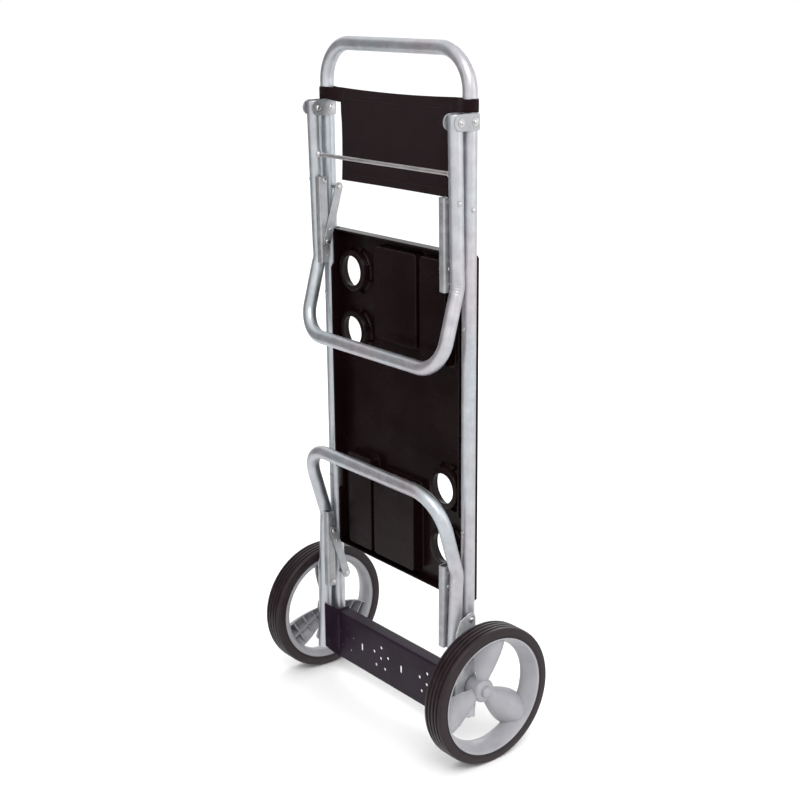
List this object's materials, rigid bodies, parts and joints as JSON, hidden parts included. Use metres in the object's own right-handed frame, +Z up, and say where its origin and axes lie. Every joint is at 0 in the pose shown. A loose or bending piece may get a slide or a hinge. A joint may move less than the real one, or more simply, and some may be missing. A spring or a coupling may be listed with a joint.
{
  "type": "convertible hand truck",
  "caption": "Upright hand truck of bent tube on two spoked wheels, with a folding toe plate, cloth back rest, moulded table top and U-shaped legs that swing out on folding braces.",
  "frame": {"origin": "on the ground, midway between the wheels, below the axle", "axes": "+X to the truck's right as seen from its load side looking along +Y, +Y to the rear (the pushing side, where the table surface faces), +Z up"},
  "size_m": [0.5508, 0.263, 1.2836],
  "materials": {
    "aluminium_tube": "satin, drawn tube",
    "zinc_plate": "bright zinc plate, dull",
    "plated_steel": "bright zinc plate",
    "dark_coated_steel": "fine powder coat, satin",
    "black_moulding": "moulded, semi-gloss",
    "tyre_rubber": "solid rubber, dull",
    "wheel_plastic": "moulded, satin",
    "back_cloth_weave": "woven webbing cloth"
  },
  "bodies": {
    "frame": {"frame_tube": "aluminium_tube", "top_bracket_outer_left": "zinc_plate", "top_bracket_inner_left": "zinc_plate", "axle_plate_outer_left": "zinc_plate", "axle_cheek_inner_left": "dark_coated_steel", "top_pivot_bolt_left": "plated_steel", "top_frame_bolt_left": "plated_steel", "low_pivot_bolt_left": "plated_steel", "low_frame_bolt_left": "plated_steel", "foot_bolt_left": "plated_steel", "top_frame_pin_left": "plated_steel", "low_frame_pin_left": "plated_steel", "table_screw_upper_left": "plated_steel", "table_screw_lower_left": "plated_steel", "strap_left": "back_cloth_weave", "top_bracket_outer_right": "zinc_plate", "top_bracket_inner_right": "zinc_plate", "axle_plate_outer_right": "zinc_plate", "axle_cheek_inner_right": "dark_coated_steel", "top_pivot_bolt_right": "plated_steel", "top_frame_bolt_right": "plated_steel", "low_pivot_bolt_right": "plated_steel", "low_frame_bolt_right": "plated_steel", "foot_bolt_right": "plated_steel", "top_frame_pin_right": "plated_steel", "low_frame_pin_right": "plated_steel", "table_screw_upper_right": "plated_steel", "table_screw_lower_right": "plated_steel", "strap_right": "back_cloth_weave", "axle": "plated_steel", "toe_hinge_rod": "plated_steel", "table_top": "black_moulding", "back_cloth": "back_cloth_weave"},
    "top_leg": {"top_leg_tube": "aluminium_tube", "cross_rod": "plated_steel", "top_leg_pin_left": "plated_steel", "top_leg_pin_right": "plated_steel"},
    "low_leg": {"low_leg_tube": "aluminium_tube", "low_leg_pin_left": "plated_steel", "low_leg_pin_right": "plated_steel"},
    "toe": {"toe_plate": "dark_coated_steel"},
    "top_leg_link_left": {"top_leg_link_left": "zinc_plate", "top_knee_pin_left": "plated_steel"},
    "top_frame_link_left": {"top_frame_link_left": "zinc_plate"},
    "low_leg_link_left": {"low_leg_link_left": "zinc_plate", "low_knee_pin_left": "plated_steel"},
    "low_frame_link_left": {"low_frame_link_left": "zinc_plate"},
    "wheel_left": {"wheel_left": "wheel_plastic", "tyre_left": "tyre_rubber", "hub_cap_left": "wheel_plastic"},
    "top_leg_link_right": {"top_leg_link_right": "zinc_plate", "top_knee_pin_right": "plated_steel"},
    "top_frame_link_right": {"top_frame_link_right": "zinc_plate"},
    "low_leg_link_right": {"low_leg_link_right": "zinc_plate", "low_knee_pin_right": "plated_steel"},
    "low_frame_link_right": {"low_frame_link_right": "zinc_plate"},
    "wheel_right": {"wheel_right": "wheel_plastic", "tyre_right": "tyre_rubber", "hub_cap_right": "wheel_plastic"}
  },
  "joints": [
    {"name": "top_leg_swing", "type": "hinge", "parent": "frame", "child": "top_leg", "pos_m": [0, -0.032, 1.155], "axis": [-1, 0, 0], "range_deg": [0, 90]},
    {"name": "low_leg_swing", "type": "hinge", "parent": "frame", "child": "low_leg", "pos_m": [0, -0.038, 0.0855], "axis": [1, 0, 0], "range_deg": [0, 90]},
    {"name": "toe_swing", "type": "hinge", "parent": "frame", "child": "toe", "pos_m": [0, -0.009, 0.0425], "axis": [1, 0, 0], "range_deg": [0, 90]},
    {"name": "top_leg_link_left_pivot", "type": "hinge", "parent": "top_leg", "child": "top_leg_link_left", "pos_m": [-0.17775, -0.032, 1.023], "axis": [1, 0, 0], "range_deg": [0, 138.2]},
    {"name": "top_frame_link_left_pivot", "type": "hinge", "parent": "frame", "child": "top_frame_link_left", "pos_m": [-0.168, -0.0015, 1.0095], "axis": [-1, 0, 0], "range_deg": [0, 116]},
    {"name": "low_leg_link_left_pivot", "type": "hinge", "parent": "low_leg", "child": "low_leg_link_left", "pos_m": [-0.17775, -0.0335, 0.2165], "axis": [-1, 0, 0], "range_deg": [0, 140.6]},
    {"name": "low_frame_link_left_pivot", "type": "hinge", "parent": "frame", "child": "low_frame_link_left", "pos_m": [-0.168, -0.003, 0.2275], "axis": [1, 0, 0], "range_deg": [0, 113.4]},
    {"name": "wheel_left_spin", "type": "hinge", "parent": "frame", "child": "wheel_left", "pos_m": [-0.235, 0, 0.1315], "axis": [1, 0, 0], "continuous": true},
    {"name": "top_leg_link_right_pivot", "type": "hinge", "parent": "top_leg", "child": "top_leg_link_right", "pos_m": [0.17775, -0.032, 1.023], "axis": [1, 0, 0], "range_deg": [0, 138.2]},
    {"name": "top_frame_link_right_pivot", "type": "hinge", "parent": "frame", "child": "top_frame_link_right", "pos_m": [0.168, -0.0015, 1.0095], "axis": [-1, 0, 0], "range_deg": [0, 116]},
    {"name": "low_leg_link_right_pivot", "type": "hinge", "parent": "low_leg", "child": "low_leg_link_right", "pos_m": [0.17775, -0.0335, 0.2165], "axis": [-1, 0, 0], "range_deg": [0, 140.6]},
    {"name": "low_frame_link_right_pivot", "type": "hinge", "parent": "frame", "child": "low_frame_link_right", "pos_m": [0.168, -0.003, 0.2275], "axis": [1, 0, 0], "range_deg": [0, 113.4]},
    {"name": "wheel_right_spin", "type": "hinge", "parent": "frame", "child": "wheel_right", "pos_m": [0.235, 0, 0.1315], "axis": [1, 0, 0], "continuous": true}
  ],
  "couplings": [
    {"joint": "top_leg_link_left_pivot", "follows": "top_leg_swing", "ratio": 1.5295},
    {"joint": "top_frame_link_left_pivot", "follows": "top_leg_swing", "ratio": 1.2826},
    {"joint": "low_leg_link_left_pivot", "follows": "low_leg_swing", "ratio": 1.5567},
    {"joint": "low_frame_link_left_pivot", "follows": "low_leg_swing", "ratio": 1.255},
    {"joint": "top_leg_link_right_pivot", "follows": "top_leg_swing", "ratio": 1.5295},
    {"joint": "top_frame_link_right_pivot", "follows": "top_leg_swing", "ratio": 1.2826},
    {"joint": "low_leg_link_right_pivot", "follows": "low_leg_swing", "ratio": 1.5567},
    {"joint": "low_frame_link_right_pivot", "follows": "low_leg_swing", "ratio": 1.255}
  ]
}
